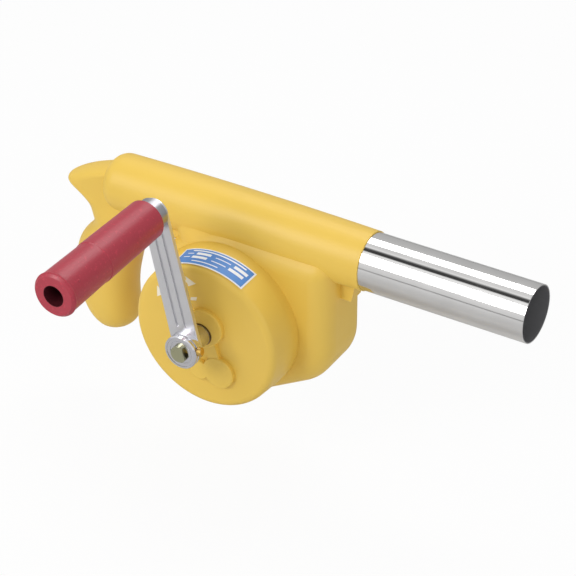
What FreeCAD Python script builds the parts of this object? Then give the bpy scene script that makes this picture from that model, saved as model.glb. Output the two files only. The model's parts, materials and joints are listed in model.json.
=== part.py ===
import FreeCAD, Part
import Sketcher
import math
import os
from FreeCAD import Placement, Rotation, Vector

# Hand crank fan: a pistol-shaped moulding in two halves with a steel blast tube, a gear case on
# its crank side, and a crank whose gears turn a centrifugal impeller.
# Millimetres. +X runs along the blast tube to its mouth, +Z is up and the grip points down, and
# the crank axis is parallel to Y with the crank on the -Y side. The origin is in the middle of
# the grip, on the plane where the two halves meet.

os.makedirs("parts", exist_ok=True)
doc = FreeCAD.newDocument("hand_crank_fan")

# Driving sizes

SIZES = [
    # blast tube and barrel
    ("tube_outer_radius", 16.0),
    ("tube_wall", 0.8),
    ("tube_visible_length", 96.0),
    ("tube_socket_depth", 30.0),
    ("tube_fit_gap", 0.05),
    ("barrel_axis_height", 50.0),
    ("barrel_collar_reach", 77.5),
    ("barrel_collar_wall", 0.6),
    ("barrel_swell", 0.7),
    ("barrel_rear_slimming", 0.3),
    ("barrel_rear_reach", 87.0),
    ("barrel_rear_round", 9.0),
    ("duct_radius", 14.4),
    ("duct_rear_reach", 46.0),
    # fan housing
    ("housing_half_width", 21.0),
    ("housing_wall", 2.2),
    ("scroll_radius", 50.5),
    ("scroll_reach", 61.8),
    ("scroll_bulge_radius", 30.0),
    ("scroll_exit_angle", 60.0),
    ("scroll_top_round", 8.0),
    ("scroll_front_round", 12.0),
    ("scroll_rear_round", 10.0),
    # grip and tail
    ("hold_to_crank_x", 92.0),
    ("hold_to_crank_z", 14.0),
    ("grip_half_width", 14.0),
    ("grip_front_reach", 74.0),
    ("grip_back_reach", 110.5),
    ("grip_bottom_depth", 45.0),
    ("grip_top_gap_height", 29.0),
    ("grip_core_wall", 3.0),
    ("tail_half_width", 10.0),
    ("tail_reach", 116.5),
    ("tail_tip_height", 44.0),
    ("tail_root_reach", 20.0),
    # gear case
    ("cover_radius", 45.0),
    ("cover_draft", 1.0),
    ("cover_depth", 18.0),
    ("cover_wall", 2.4),
    ("cover_edge_round", 4.0),
    ("cover_front_depth", 45.0),
    ("relief_height", 2.7),
    ("relief_round", 0.8),
    ("upper_relief_radius", 11.0),
    ("upper_relief_x", 2.0),
    ("upper_relief_height", 8.5),
    ("lower_relief_radius", 9.5),
    ("side_relief_radius", 6.0),
    ("side_relief_x", -2.0),
    ("side_relief_height", -20.5),
    ("relief_neck_width", 7.0),
    ("post_radius", 3.6),
    ("post_circle_radius", 34.8),
    ("post_first_angle", 36.0),
    ("post_hole_radius", 1.3),
    # tube clamp lug
    ("lug_x", 64.0),
    ("lug_top_width", 12.5),
    ("lug_bottom_width", 8.6),
    ("lug_drop", 9.5),
    ("lug_half_width", 5.2),
    ("lug_hole_drop", 5.6),
    # screws
    ("screw_shank_radius", 1.4),
    ("screw_head_radius", 2.9),
    ("screw_head_height", 1.9),
    ("screw_gap", 0.05),
    ("shell_screw_bite", 9.0),
    ("shell_screw_recess", 5.0),
    ("grip_screw_x", 92.0),
    ("grip_low_screw_depth", 30.0),
    ("grip_high_screw_height", 8.0),
    ("barrel_screw_x", 70.0),
    # intake
    ("intake_hub_radius", 8.0),
    ("intake_first_radius", 11.0),
    ("intake_slot_width", 4.4),
    ("intake_rib_width", 2.0),
    ("intake_spoke_width", 2.4),
    ("intake_spokes", 8.0),
    # impeller and its shaft
    ("impeller_radius", 42.0),
    ("impeller_plate", 1.8),
    ("impeller_blade_height", 27.0),
    ("impeller_blade_thickness", 1.6),
    ("impeller_blades", 12.0),
    ("impeller_inlet_radius", 20.0),
    ("impeller_hub_radius", 6.0),
    ("impeller_hub_length", 22.0),
    ("impeller_front_gap", 2.8),
    ("impeller_shaft_radius", 2.0),
    ("bush_wall", 2.0),
    ("bush_flange", 1.2),
    ("running_gap", 0.05),
    ("side_gap", 0.4),
    # gears
    ("gear_module", 0.7),
    ("drive_wheel_teeth", 56.0),
    ("drive_pinion_teeth", 14.0),
    ("fan_wheel_teeth", 48.0),
    ("fan_pinion_teeth", 12.0),
    ("gear_face", 5.0),
    ("gear_backlash", 0.14),
    ("gear_rim", 3.0),
    ("gear_web", 2.4),
    ("idler_angle", -61.0),
    ("crank_angle", 114.55),
    ("idler_pin_radius", 1.5),
    ("idler_boss_radius", 3.6),
    # crank
    ("crank_shaft_radius", 4.8),
    ("crank_shaft_end", 2.3),
    ("crank_flat_depth", 1.6),
    ("arm_length", 80.4),
    ("arm_tilt", 13.2),
    ("arm_front_depth", 61.7),
    ("arm_thickness", 2.2),
    ("arm_hub_width", 17.6),
    ("arm_end_width", 15.8),
    ("arm_groove_spacing", 5.2),
    ("arm_groove_width", 1.6),
    ("arm_groove_depth", 0.9),
    ("arm_groove_inset", 13.0),
    ("hub_radius", 9.8),
    ("hub_face_length", 6.0),
    ("hub_step", 0.6),
    ("hub_spigot_radius", 7.6),
    ("hub_tail_radius", 6.2),
    ("set_screw_radius", 1.9),
    ("set_screw_head_radius", 2.5),
    ("set_screw_head_length", 1.8),
    # handle
    ("spindle_radius", 4.0),
    ("spindle_clip_land", 0.6),
    ("spindle_flange_radius", 9.0),
    ("spindle_flange_length", 6.2),
    ("spindle_spigot_radius", 3.5),
    ("rivet_head_radius", 5.4),
    ("rivet_head_height", 1.4),
    ("sleeve_length", 82.8),
    ("sleeve_inner_end_radius", 11.2),
    ("sleeve_outer_end_radius", 12.1),
    ("sleeve_joint_step", 0.3),
    ("sleeve_joint_share", 0.42),
    ("sleeve_bore_radius", 5.9),
    ("sleeve_bore_depth", 26.0),
    ("sleeve_lip", 1.2),
    ("clip_thickness", 0.9),
    ("clip_gap", 0.1),
]

sheet = doc.addObject("Spreadsheet::Sheet", "sizes")
for row, (name, number) in enumerate(SIZES, 1):
    sheet.set("A%d" % row, name)
    sheet.set("B%d" % row, str(number))
    sheet.setAlias("B%d" % row, name)
doc.recompute()


class Size:
    """A size that carries its number and the sheet formula that gives it."""

    def __init__(self, number, formula):
        self.number = float(number)
        self.formula = formula

    def __add__(self, other):
        other = as_size(other)
        return Size(self.number + other.number, "(%s + %s)" % (self.formula, other.formula))

    def __radd__(self, other):
        return as_size(other) + self

    def __sub__(self, other):
        other = as_size(other)
        return Size(self.number - other.number, "(%s - %s)" % (self.formula, other.formula))

    def __rsub__(self, other):
        return as_size(other) - self

    def __mul__(self, other):
        other = as_size(other)
        return Size(self.number * other.number, "(%s * %s)" % (self.formula, other.formula))

    def __rmul__(self, other):
        return as_size(other) * self

    def __truediv__(self, other):
        other = as_size(other)
        return Size(self.number / other.number, "(%s / %s)" % (self.formula, other.formula))

    def __rtruediv__(self, other):
        return as_size(other) / self

    def __neg__(self):
        return Size(-self.number, "(0 - %s)" % self.formula)


def as_size(thing):
    """Takes a plain number as a size."""
    if isinstance(thing, Size):
        return thing
    return Size(thing, repr(float(thing)))


def cosine(angle):
    angle = as_size(angle)
    return Size(math.cos(math.radians(angle.number)), "cos(%s * 1 deg)" % angle.formula)


def smaller(first, second):
    first, second = as_size(first), as_size(second)
    return Size(min(first.number, second.number), "min(%s; %s)" % (first.formula, second.formula))


def sine(angle):
    angle = as_size(angle)
    return Size(math.sin(math.radians(angle.number)), "sin(%s * 1 deg)" % angle.formula)


class Sheet:
    """The sheet's sizes by name."""


d = Sheet()
for name, number in SIZES:
    setattr(d, name, Size(sheet.get(name), "sizes." + name))


# Modelling helpers

def bind(thing, path, size):
    """Ties a property of an object to its formula."""
    thing.setExpression(path, as_size(size).formula)


def place(thing, x=0.0, y=0.0, z=0.0, rotation=None):
    """Places an object by its distances from the crank axis and the split plane."""
    if rotation:
        thing.Placement = Placement(Vector(0, 0, 0), rotation)
    bind(thing, "Placement.Base.x", d.hold_to_crank_x + x)
    bind(thing, "Placement.Base.y", y)
    bind(thing, "Placement.Base.z", d.hold_to_crank_z + z)


def origin_part(body, role):
    """A plane or an axis of the body's own origin."""
    return [part for part in body.Origin.OriginFeatures if part.Role == role][0]


def new_body(name, x=0.0, y=0.0, z=0.0, rotation=None):
    body = doc.addObject("PartDesign::Body", name)
    place(body, x, y, z, rotation)
    return body


def new_sketch(body, role, offset=0.0):
    """A sketch on one of the body's origin planes, moved along the plane's normal."""
    sketch = body.newObject("Sketcher::SketchObject", body.Name + "_sketch")
    sketch.AttachmentSupport = [(origin_part(body, role), "")]
    sketch.MapMode = "FlatFace"
    bind(sketch, "AttachmentOffset.Base.z", offset)
    return sketch


def fix_point(sketch, geometry, end, point):
    """Holds one end of a line or an arc at a place given by two sizes."""
    for kind, axis, size in zip(("DistanceX", "DistanceY"), (-2, -1), point):
        size = as_size(size)
        if abs(size.number) < 1e-9:
            sketch.addConstraint(Sketcher.Constraint("PointOnObject", geometry, end, axis))
            continue
        index = sketch.addConstraint(Sketcher.Constraint(kind, geometry, end, size.number))
        sketch.setExpression("Constraints[%d]" % index, size.formula)


def vector(point):
    return Vector(as_size(point[0]).number, as_size(point[1]).number, 0)


def draw_outline(sketch, corners):
    """Draws a closed outline. A corner is (x, y), or (x, y, via) for an arc to the next corner."""
    count = len(corners)
    for number, corner in enumerate(corners):
        start = vector(corner)
        finish = vector(corners[(number + 1) % count])
        if len(corner) == 3:
            via = vector(corner[2])
            leftward = (via - start).cross(finish - via).z > 0
            first, last = (start, finish) if leftward else (finish, start)
            index = sketch.addGeometry(Part.Arc(first, via, last), False)
            fix_point(sketch, index, 1 if leftward else 2, corner[:2])
            fix_point(sketch, index, 2 if leftward else 1, corners[(number + 1) % count][:2])
            on_arc = sketch.addGeometry(Part.Point(vector(corner[2])), True)
            fix_point(sketch, on_arc, 1, corner[2])
            sketch.addConstraint(Sketcher.Constraint("PointOnObject", on_arc, 1, index))
        else:
            index = sketch.addGeometry(Part.LineSegment(start, finish), False)
            fix_point(sketch, index, 1, corner[:2])
            fix_point(sketch, index, 2, corners[(number + 1) % count][:2])


def draw_circle(sketch, x, y, radius):
    circle = Part.Circle(vector((x, y)), Vector(0, 0, 1), as_size(radius).number)
    index = sketch.addGeometry(circle, False)
    fix_point(sketch, index, 3, (x, y))
    held = sketch.addConstraint(Sketcher.Constraint("Radius", index, as_size(radius).number))
    sketch.setExpression("Constraints[%d]" % held, as_size(radius).formula)


def pad(body, sketch, length):
    feature = body.newObject("PartDesign::Pad", body.Name + "_pad")
    feature.Profile = sketch
    bind(feature, "Length", length)
    body.Tip = feature
    return feature


def pocket(body, sketch, length):
    feature = body.newObject("PartDesign::Pocket", body.Name + "_pocket")
    feature.Profile = sketch
    bind(feature, "Length", length)
    body.Tip = feature
    return feature


def slab(body, corners, low, high):
    """Pads an outline, drawn in X and Z, from one depth along Y to another."""
    sketch = new_sketch(body, "XZ_Plane", -as_size(high))
    draw_outline(sketch, corners)
    return pad(body, sketch, as_size(high) - low)


def disc(body, x, z, radius, low, high):
    """Pads a circle, drawn in X and Z, from one depth along Y to another."""
    sketch = new_sketch(body, "XZ_Plane", -as_size(high))
    draw_circle(sketch, x, z, radius)
    return pad(body, sketch, as_size(high) - low)


def drill(body, x, z, radius, low, high):
    """Cuts a round hole along Y from one depth to another."""
    sketch = new_sketch(body, "XZ_Plane", -as_size(low))
    draw_circle(sketch, x, z, radius)
    return pocket(body, sketch, as_size(high) - low)


def turned_on_y(name, corners, x=0.0, z=0.0):
    """A part turned about an axis along Y. Corners are (radius, y)."""
    body = new_body(name, x, 0.0, z)
    sketch = new_sketch(body, "XY_Plane")
    draw_outline(sketch, corners)
    revolve(body, sketch, "V_Axis")
    return body


def turned_on_x(name, corners, z=0.0):
    """A part turned about an axis along X. Corners are (x, radius)."""
    body = new_body(name, 0.0, 0.0, z)
    sketch = new_sketch(body, "XY_Plane")
    draw_outline(sketch, corners)
    revolve(body, sketch, "H_Axis")
    return body


def revolve(body, sketch, axis):
    feature = body.newObject("PartDesign::Revolution", body.Name + "_turning")
    feature.Profile = sketch
    feature.ReferenceAxis = (sketch, [axis])
    feature.Angle = 360.0
    body.Tip = feature
    return feature


def fillet(body, feature, radius, test):
    """Rounds the feature's edges that pass the test."""
    doc.recompute()
    edges = ["Edge%d" % (number + 1) for number, edge in enumerate(feature.Shape.Edges) if test(edge)]
    rounding = body.newObject("PartDesign::Fillet", body.Name + "_round")
    rounding.Base = (feature, edges)
    bind(rounding, "Radius", radius)
    body.Tip = rounding
    return rounding


def loft(body, profiles):
    """A smooth skin through a row of section sketches."""
    skin = body.newObject("PartDesign::AdditiveLoft", body.Name + "_loft")
    skin.Profile = profiles[0]
    skin.Sections = profiles[1:]
    skin.Ruled = False
    body.Tip = skin
    return skin


def polar(body, feature, count, axis="Y_Axis"):
    """Repeats a feature round one of the body's axes."""
    pattern = body.newObject("PartDesign::PolarPattern", body.Name + "_pattern")
    pattern.Originals = [feature]
    pattern.Axis = (origin_part(body, axis), [""])
    pattern.Angle = 360.0
    bind(pattern, "Occurrences", count)
    body.Tip = pattern
    return pattern


def cylinder(name, radius, low, high, x=0.0, z=0.0):
    """A plain cylinder along Y from one depth to another."""
    thing = doc.addObject("Part::Cylinder", name)
    bind(thing, "Radius", radius)
    bind(thing, "Height", as_size(high) - low)
    place(thing, x, low, z, Rotation(Vector(1, 0, 0), -90))
    return thing


def fused(name, shapes):
    thing = doc.addObject("Part::MultiFuse", name)
    thing.Shapes = shapes
    thing.Refine = True
    return thing


def cut(name, base, tool):
    thing = doc.addObject("Part::Cut", name)
    thing.Base = base
    thing.Tool = tool
    thing.Refine = True
    return thing


def common(name, base, tool):
    thing = doc.addObject("Part::Common", name)
    thing.Base = base
    thing.Tool = tool
    thing.Refine = True
    return thing


def flat_at(depth):
    """A test for edges that lie at one depth along Y of a body."""
    level = as_size(depth).number

    def test(edge):
        box = edge.BoundBox
        return abs(box.YMin - level) < 1e-4 and abs(box.YMax - level) < 1e-4
    return test


# Depths along Y, from the split plane

cover_front = -d.cover_front_depth
cover_inside = cover_front + d.cover_wall
seam = cover_front + d.cover_depth
partition_front = -d.housing_half_width
partition_back = partition_front + d.housing_wall
relief_front = cover_front - d.relief_height

bush_back = cover_inside + 2.0
wheel_front = bush_back + d.side_gap
wheel_back = wheel_front + d.gear_face
crank_shaft_back = wheel_back + d.clip_thickness + d.side_gap
second_front = crank_shaft_back + 1.0
second_back = second_front + d.gear_face
idler_boss_top = second_back + d.side_gap
impeller_front = partition_back + d.impeller_front_gap
blades_front = impeller_front + d.impeller_plate
blades_back = blades_front + d.impeller_blade_height
rear_inside = d.housing_half_width - d.housing_wall
rear_boss_top = rear_inside - 5.0
rear_pocket_end = d.housing_half_width - 2.0

arm_front = -d.arm_front_depth
arm_back = arm_front + d.arm_thickness
hub_front = arm_front - d.hub_face_length
set_screw_depth = arm_front - d.hub_face_length / 2
spindle_flange_front = arm_front - d.spindle_flange_length
sleeve_inner = spindle_flange_front - d.side_gap
sleeve_outer = sleeve_inner - d.sleeve_length
sleeve_shelf = sleeve_outer + d.sleeve_bore_depth
spindle_clip_front = sleeve_shelf - d.clip_gap - d.clip_thickness
spindle_tip = spindle_clip_front - d.spindle_clip_land

fan_gear_distance = d.gear_module * (d.fan_wheel_teeth + d.fan_pinion_teeth) / 2
drive_gear_distance = d.gear_module * (d.drive_wheel_teeth + d.drive_pinion_teeth) / 2
idler_x = fan_gear_distance * cosine(d.idler_angle)
idler_z = fan_gear_distance * sine(d.idler_angle)
crank_x = idler_x + drive_gear_distance * cosine(d.crank_angle)
crank_z = idler_z + drive_gear_distance * sine(d.crank_angle)


# Moulded housing: outer form

def barrel_form():
    """The barrel, swollen a little in its middle, with a rounded rear end."""
    collar = d.tube_outer_radius + d.barrel_collar_wall
    rear = -d.barrel_rear_reach
    bend = d.barrel_rear_round
    low = bend * (1 - cosine(45))
    slim = collar - d.barrel_rear_slimming
    corners = [
        (rear, 0),
        (rear, slim - bend, (rear + low, slim - low)),
        (rear + bend, slim, (0, collar + d.barrel_swell)),
        (d.barrel_collar_reach, collar),
        (d.barrel_collar_reach, 0),
    ]
    return turned_on_x("barrel_form", corners, d.barrel_axis_height)


def scroll_corners(inset):
    """The fan housing's side outline: a round back that opens to a straight wall at the outlet."""
    radius = d.scroll_radius - inset
    reach = d.scroll_reach - inset
    bulge = d.scroll_bulge_radius - inset
    bend = d.scroll_top_round - inset
    exit_x = radius * cosine(d.scroll_exit_angle)
    exit_z = -radius * sine(d.scroll_exit_angle)
    slope = cosine(d.scroll_exit_angle) / sine(d.scroll_exit_angle)
    bulge_x = reach - bulge * (1 - sine(90 - d.scroll_exit_angle))
    bulge_z = exit_z + (bulge_x - exit_x) * slope
    centre_z = bulge_z + bulge * sine(d.scroll_exit_angle)
    half = (90 - d.scroll_exit_angle) / 1.0
    via = (reach - bulge + bulge * cosine(half), centre_z - bulge * sine(half))
    return [
        (0, radius, (-radius, 0)),
        (exit_x, exit_z),
        (bulge_x, bulge_z, via),
        (reach, centre_z),
        (reach, radius - bend, (reach - bend * (1 - cosine(45)), radius - bend * (1 - cosine(45)))),
        (reach - bend, radius),
    ]


def scroll_form():
    body = new_body("scroll_form")
    half = d.housing_half_width
    block = slab(body, scroll_corners(as_size(0)), -half, half)
    front = fillet(body, block, d.scroll_front_round, flat_at(-half))
    fillet(body, front, d.scroll_rear_round, flat_at(half))
    return body


def grip_form():
    """The pistol grip and the spur behind the barrel: level sections with round ends, foot to top."""
    body = new_body("grip_form")
    front = -d.grip_front_reach
    back = -d.grip_back_reach
    floor = -d.grip_bottom_depth
    arch = d.grip_top_gap_height
    tip = -d.tail_reach
    tip_height = d.tail_tip_height
    half = d.grip_half_width
    slim = d.tail_half_width
    inside = -d.tail_root_reach
    sections = [
        (floor, back + 11.5, front - 5, half * 0.7),
        (floor + 4.5, back + 7.5, front - 1.2, half * 0.9),
        (floor + 14, back + 2.5, front, half),
        (floor + 30, back, front, half),
        (floor + 46, back + 0.2, front + 3, half),
        (arch - 15, back + 5.9, front + 7.7, half * 0.97),
        (arch - 7.5, back + 12, front + 16, half * 0.92),
        (arch - 2, back + 11.8, inside - 25.5, half * 0.88),
        (arch + 3, back + 10.1, inside - 12, half * 0.83),
        (tip_height - 8, tip + 13, inside - 2, slim * 1.1),
        (tip_height - 4, tip + 7.5, inside, slim * 1.04),
        (tip_height, tip + 1.7, inside, slim),
        (tip_height + 4, tip + 4, inside, slim),
    ]
    ridge = [
        (tip_height + 4, tip + 4, inside, slim),
        (tip_height + 8, tip + 10.9, inside, slim),
        (tip_height + 12, tip + 21, inside, slim),
        (tip_height + 16, tip + 34, inside, slim),
    ]
    loft(body, [round_ended_section(body, *section) for section in sections])
    loft(body, [round_ended_section(body, *section) for section in ridge])
    return body


def round_ended_section(body, height, back, front, half):
    """A level section in X and Y with a half-round at each end."""
    sketch = new_sketch(body, "XY_Plane", height)
    nose = smaller(half, (front - back) * 0.45)
    draw_outline(sketch, [
        (back + nose, -half),
        (front - nose, -half, (front, 0)),
        (front - nose, half),
        (back + nose, half, (back, 0)),
    ])
    return sketch


def flank_form():
    """The flanks that lead the barrel's sides down to the fan housing's flat faces."""
    body = new_body("flank_form")
    top = d.tube_outer_radius + d.barrel_collar_wall - 0.2
    face = d.housing_half_width - 0.1
    low = d.barrel_axis_height - d.tube_outer_radius
    stations = [
        (-d.scroll_radius + 10.5, face - 12, low + 7),
        (-d.scroll_radius / 2, face - 1.6, low + 1),
        (0, face, low),
        (d.scroll_reach / 2, face - 0.8, low),
        (d.scroll_reach - 4, face - 6.4, low + 4),
    ]
    loft(body, [flank_section(body, x, foot, top, foot_z, d.barrel_axis_height) for x, foot, foot_z in stations])
    return body


def flank_section(body, x, foot, top, low, high):
    """A section in Y and Z that leaves both its foot and its top nearly upright."""
    sketch = new_sketch(body, "YZ_Plane", x)
    step = foot - top
    rise = high - low
    middle = foot - step / 2
    half_way = low + rise / 2
    under = (foot - step / 8, low + rise / 4)
    over = (top + step / 8, high - rise / 4)
    draw_outline(sketch, [
        (-foot, low),
        (foot, low, under),
        (middle, half_way, over),
        (top, high),
        (-top, high, (-over[0], over[1])),
        (-middle, half_way, (-under[0], under[1])),
    ])
    return sketch


def lug_form():
    """The two ears under the collar whose screw pinches the blast tube."""
    body = new_body("lug_form")
    top = d.barrel_axis_height - d.tube_outer_radius
    bottom = d.barrel_axis_height - d.tube_outer_radius - d.barrel_collar_wall - d.lug_drop
    corners = [
        (d.lug_x - d.lug_top_width / 2, top),
        (d.lug_x - d.lug_bottom_width / 2, bottom),
        (d.lug_x + d.lug_bottom_width / 2, bottom),
        (d.lug_x + d.lug_top_width / 2, top),
    ]
    slab(body, corners, -d.lug_half_width, d.lug_half_width)
    return body


def housing_form():
    skirt = cylinder("skirt_form", d.cover_radius, seam, partition_back)
    forms = [barrel_form(), scroll_form(), flank_form(), grip_form(), lug_form(), skirt]
    return fused("housing_form", forms)


# Moulded housing: hollows

def duct_hollow():
    """The barrel's bore: a duct from the fan chamber, and the wider socket for the tube."""
    socket = d.barrel_collar_reach - d.tube_socket_depth
    wide = d.tube_outer_radius + d.tube_fit_gap
    corners = [
        (-d.duct_rear_reach, 0),
        (-d.duct_rear_reach, d.duct_radius),
        (socket, d.duct_radius),
        (socket, wide),
        (d.barrel_collar_reach + 1, wide),
        (d.barrel_collar_reach + 1, 0),
    ]
    return turned_on_x("duct_hollow", corners, d.barrel_axis_height)


def scroll_hollow():
    body = new_body("scroll_hollow")
    block = slab(body, scroll_corners(d.housing_wall), partition_back, rear_inside)
    front = fillet(body, block, d.scroll_front_round - d.housing_wall, flat_at(partition_back))
    fillet(body, front, d.scroll_rear_round - d.housing_wall, flat_at(rear_inside))
    return body


def gear_bay_hollow():
    return cylinder("gear_bay_hollow", d.cover_radius - d.cover_wall, seam - 1, partition_front)


def grip_hollow():
    """The grip's core, left open inside between its two screws."""
    body = new_body("grip_hollow")
    wall = d.grip_core_wall
    back = -d.grip_back_reach + 2.5 + wall
    front = -d.grip_front_reach - 2 - wall
    low = -d.grip_low_screw_depth + d.screw_head_radius + wall
    high = d.grip_high_screw_height - d.screw_head_radius - wall
    section = round_ended_section(body, low, back, front, d.grip_half_width - wall)
    pad(body, section, high - low)
    return body


# Screws along Y: each entry is x, z and the depth of the outer face at that place

def shell_screw_places():
    grip = d.grip_half_width
    collar = d.tube_outer_radius + d.barrel_collar_wall
    return [
        (-d.grip_screw_x, -d.grip_low_screw_depth, grip - d.shell_screw_recess),
        (-d.grip_screw_x, d.grip_high_screw_height, grip - d.shell_screw_recess),
        (-d.barrel_screw_x, d.barrel_axis_height, collar - d.shell_screw_recess),
    ]


def lug_screw_place():
    collar_bottom = d.barrel_axis_height - d.tube_outer_radius - d.barrel_collar_wall
    return (d.lug_x, collar_bottom - d.lug_hole_drop, d.lug_half_width - d.screw_head_height)


def screw_body(name, places, bite):
    """Pan-head screws that enter from the rear and end in the front half."""
    screws = []
    for number, (x, z, seat) in enumerate(places):
        corners = [
            (0, -bite),
            (d.screw_shank_radius, -bite),
            (d.screw_shank_radius, seat),
            (d.screw_head_radius, seat),
            (d.screw_head_radius, seat + d.screw_head_height * 0.6),
            (d.screw_head_radius * 0.7, seat + d.screw_head_height),
            (0, seat + d.screw_head_height),
        ]
        screws.append(turned_on_y("%s_%d" % (name, number + 1), corners, x, z))
    if len(screws) == 1:
        return screws[0]
    group = doc.addObject("Part::Compound", name)
    group.Links = screws
    return group


def screw_hollows(name, places, bite):
    """The clearance, recess and pilot holes for screws that enter from the rear."""
    hollows = []
    shank = d.screw_shank_radius + d.screw_gap
    head = d.screw_head_radius + d.screw_gap
    for number, (x, z, seat) in enumerate(places):
        corners = [
            (0, -bite),
            (shank, -bite),
            (shank, seat),
            (head, seat),
            (head, d.housing_half_width),
            (0, d.housing_half_width),
        ]
        hollows.append(turned_on_y("%s_%d" % (name, number + 1), corners, x, z))
    return hollows


# Shells

def post_places():
    """The three posts that carry the gear cover, spread to clear the gears."""
    return [
        (d.post_circle_radius * cosine(d.post_first_angle + turn),
         d.post_circle_radius * sine(d.post_first_angle + turn)) for turn in (0, 112, 204)]


def half_space(name, low, high):
    """A block that holds everything on one side of the split plane."""
    block = doc.addObject("Part::Box", name)
    length = (d.tail_reach + d.barrel_collar_reach) * 2
    bind(block, "Length", length)
    bind(block, "Width", as_size(high) - low)
    bind(block, "Height", length)
    place(block, -length / 2, low, -length / 2)
    return block


def shells(outer):
    """The crank-side and rear halves of the moulding, cut from the one outer form."""
    reach = d.cover_front_depth
    hollows = [duct_hollow(), scroll_hollow(), gear_bay_hollow(), grip_hollow()]
    hollows += screw_hollows("shell_screw_hollow", shell_screw_places(), d.shell_screw_bite)
    hollows += screw_hollows("lug_screw_hollow", [lug_screw_place()], d.lug_half_width - 1)
    hollow = fused("housing_hollow", hollows)
    moulding = cut("moulding", outer, hollow)
    front_half = common("front_half", moulding, half_space("front_space", -reach, 0))
    rear_half = common("rear_half", moulding, half_space("rear_space", 0, reach))
    return finish_front(front_half), finish_rear(rear_half)


def finish_front(front_half):
    """Adds the bearing and gear-pin bosses to the wall between the gears and the fan."""
    bush_outer = d.impeller_shaft_radius + d.running_gap + d.bush_wall
    bearing_boss_top = second_back + d.side_gap
    bosses = [
        front_half,
        cylinder("bearing_boss", bush_outer + d.bush_wall, bearing_boss_top, partition_back),
        cylinder("idler_boss", d.idler_boss_radius, idler_boss_top, partition_back, idler_x, idler_z),
    ]
    with_bosses = fused("front_with_bosses", bosses)
    holes = [
        cylinder("bearing_hole", bush_outer, bearing_boss_top - 1, partition_back + 1),
        cylinder("idler_hole", d.idler_pin_radius, idler_boss_top - 1, partition_back - 0.6, idler_x, idler_z),
    ]
    for number, (x, z) in enumerate(post_places()):
        hole = d.screw_shank_radius + d.screw_gap
        holes.append(cylinder("cover_screw_hole_%d" % number, hole, seam, partition_back + 1, x, z))
    return cut("front_shell", with_bosses, fused("front_holes", holes))


def intake_slots():
    """Three rings of curved slots through the rear wall, parted by spokes."""
    body = new_body("intake_slots")
    sketch = new_sketch(body, "XZ_Plane", -(d.housing_half_width + 1))
    pitch = d.intake_slot_width + d.intake_rib_width
    for ring in range(3):
        inner = d.intake_first_radius + pitch * ring
        outer = inner + d.intake_slot_width
        draw_outline(sketch, slot_corners(inner, outer))
    block = pad(body, sketch, d.housing_wall + 2)
    polar(body, block, d.intake_spokes)
    return body


def slot_corners(inner, outer):
    """One slot of a ring, with ends parallel to the spoke beside it."""
    half = 180 / d.intake_spokes
    spoke = d.intake_spoke_width / 2
    lean_in = half - (spoke / inner) * (180 / math.pi)
    lean_out = half - (spoke / outer) * (180 / math.pi)
    return [
        (inner * cosine(lean_in), -inner * sine(lean_in)),
        (outer * cosine(lean_out), -outer * sine(lean_out), (outer, 0)),
        (outer * cosine(lean_out), outer * sine(lean_out)),
        (inner * cosine(lean_in), inner * sine(lean_in), (inner, 0)),
    ]


def finish_rear(rear_half):
    """Adds the rear bearing boss behind the intake's hub and cuts the intake's slots."""
    bush_outer = d.impeller_shaft_radius + d.running_gap + d.bush_wall
    boss = cylinder("rear_bearing_boss", d.intake_hub_radius, rear_boss_top, d.housing_half_width)
    with_boss = fused("rear_with_boss", [rear_half, boss])
    pocket_hole = cylinder("rear_bearing_hole", bush_outer, rear_boss_top - 1, rear_pocket_end)
    return cut("rear_shell", with_boss, fused("rear_holes", [pocket_hole, intake_slots()]))


def gear_cover():
    """A drafted cup with raised bosses on its face and three screw posts inside."""
    body = new_body("gear_cover")
    radius = d.cover_radius - d.cover_draft
    bend = d.cover_edge_round
    low = bend * (1 - cosine(45))
    inner = d.cover_radius - d.cover_wall
    corners = [
        (0, cover_front),
        (radius - bend, cover_front, (radius - low, cover_front + low)),
        (radius, cover_front + bend),
        (d.cover_radius, seam),
        (inner, seam),
        (inner - d.cover_draft, cover_inside + bend / 2),
        (inner - d.cover_draft - bend / 2, cover_inside),
        (0, cover_inside),
    ]
    sketch = new_sketch(body, "XY_Plane")
    draw_outline(sketch, corners)
    revolve(body, sketch, "V_Axis")
    root = cover_front + d.cover_wall / 2
    neck = d.relief_neck_width / 2
    soft_boss(body, d.upper_relief_x, d.upper_relief_height, d.upper_relief_radius, root)
    soft_boss(body, idler_x, idler_z, d.lower_relief_radius, root)
    soft_boss(body, d.side_relief_x, d.side_relief_height, d.side_relief_radius, root)
    neck_corners = [
        (idler_x - neck, idler_z),
        (idler_x + neck, idler_z),
        (d.upper_relief_x + neck, d.upper_relief_height),
        (d.upper_relief_x - neck, d.upper_relief_height),
    ]
    slab(body, neck_corners, relief_front + d.relief_round / 2, root)
    bush_outer = d.crank_shaft_radius + d.running_gap + d.bush_wall
    soft_boss(body, crank_x, crank_z, bush_outer + d.bush_wall, root)
    disc(body, crank_x, crank_z, bush_outer + d.bush_wall, cover_inside - 0.5, bush_back)
    disc(body, idler_x, idler_z, d.idler_boss_radius, cover_inside - 0.5, wheel_front - d.side_gap)
    for x, z in post_places():
        disc(body, x, z, d.post_radius, cover_inside - 0.5, partition_front)
    drill(body, crank_x, crank_z, bush_outer, relief_front - 1, bush_back + 1)
    drill(body, idler_x, idler_z, d.idler_pin_radius, cover_inside - 0.8, wheel_front)
    for x, z in post_places():
        drill(body, x, z, d.screw_shank_radius + d.screw_gap, partition_front - 11, partition_front)
    return body


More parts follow.
